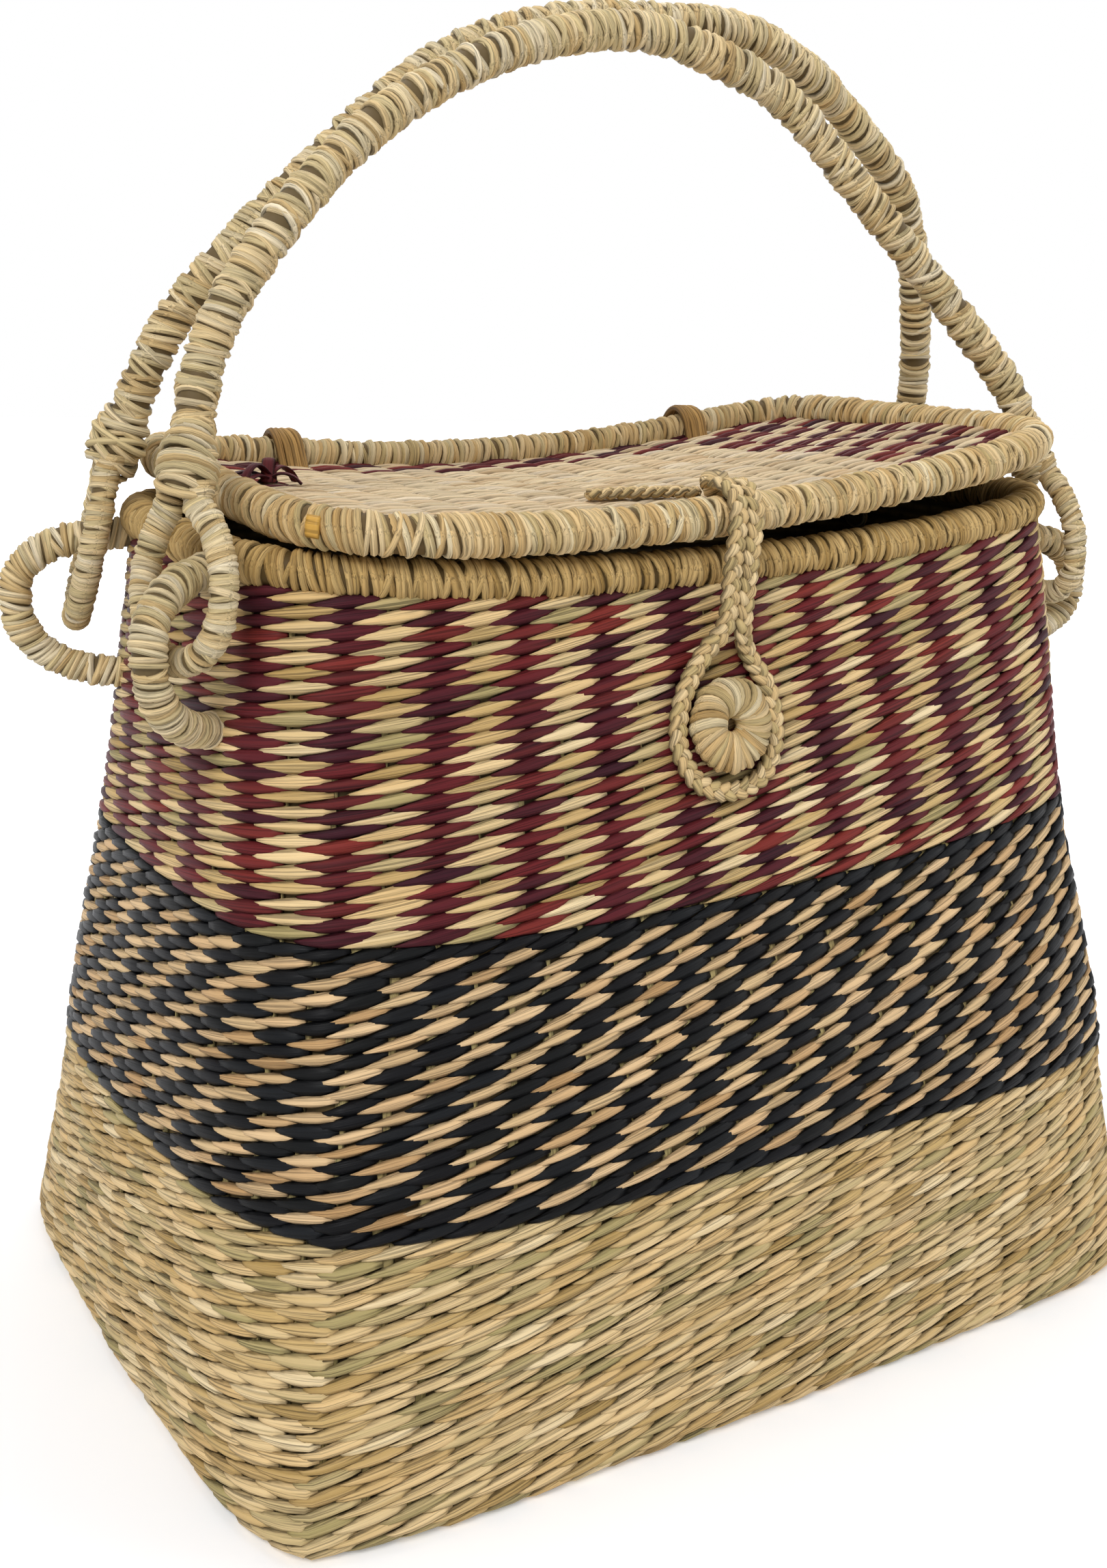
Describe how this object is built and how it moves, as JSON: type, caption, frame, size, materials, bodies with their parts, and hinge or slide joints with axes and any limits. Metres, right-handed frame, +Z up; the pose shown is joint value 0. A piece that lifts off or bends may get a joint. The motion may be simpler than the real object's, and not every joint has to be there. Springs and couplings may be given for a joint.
{
  "type": "lidded woven basket",
  "caption": "Tapered twined straw basket with a wrapped rim, a hinged woven lid closed by a plaited loop over a coiled button, and swinging wrapped handles on ear loops.",
  "frame": {"origin": "middle of the underside, on the floor", "axes": "+X along the long side to the right of the side with the button, -Y out through that side, +Z up"},
  "size_m": [0.4402, 0.2982, 0.5017],
  "materials": {
    "natural_straw": "matte natural straw",
    "black_straw": "matte dyed straw",
    "maroon_straw": "matte dyed straw",
    "cane_core": "bare cane",
    "brown_cord": "matte twisted straw"
  },
  "bodies": {
    "basket": {"base_panel": "natural_straw", "natural_wall_band": "natural_straw", "black_wall_band": "black_straw", "maroon_wall_band": "maroon_straw", "body_rim_core": "cane_core", "body_rim_wrapping": "natural_straw", "front_left_ear": "natural_straw", "front_right_ear": "natural_straw", "back_left_ear": "natural_straw", "back_right_ear": "natural_straw", "button": "natural_straw", "button_stitch": "natural_straw", "left_hinge_tie": "brown_cord", "right_hinge_tie": "brown_cord"},
    "lid": {"lid_rim_core": "cane_core", "lid_rim_wrapping": "natural_straw", "lid_panel": "natural_straw", "closure_tail": "natural_straw", "closure_knot": "natural_straw"},
    "closure": {"closure_cord": "natural_straw"},
    "front_handle": {"front_handle_core": "cane_core", "front_handle_wrapping": "natural_straw", "front_left_collar": "natural_straw", "front_left_eye": "natural_straw", "front_right_collar": "natural_straw", "front_right_eye": "natural_straw"},
    "back_handle": {"back_handle_core": "cane_core", "back_handle_wrapping": "natural_straw", "back_left_collar": "natural_straw", "back_left_eye": "natural_straw", "back_right_collar": "natural_straw", "back_right_eye": "natural_straw"}
  },
  "joints": [
    {"name": "front_handle_fold", "type": "hinge", "parent": "basket", "child": "front_handle", "pos_m": [0, -0.052, 0.303], "axis": [1, 0, 0], "range_deg": [0, 100]},
    {"name": "back_handle_fold", "type": "hinge", "parent": "basket", "child": "back_handle", "pos_m": [0, 0.052, 0.303], "axis": [-1, 0, 0], "range_deg": [0, 100]},
    {"name": "lid_hinge", "type": "hinge", "parent": "basket", "child": "lid", "pos_m": [0, 0.09153, 0.33451], "axis": [-0.9984, -0.0028, -0.0571], "range_deg": [0, 4], "deforming": ["closure_cord"]},
    {"name": "closure_swing", "type": "hinge", "parent": "lid", "child": "closure", "pos_m": [-0.009, -0.085, 0.3224], "axis": [-1, 0, 0], "range_deg": [0, 60]}
  ]
}
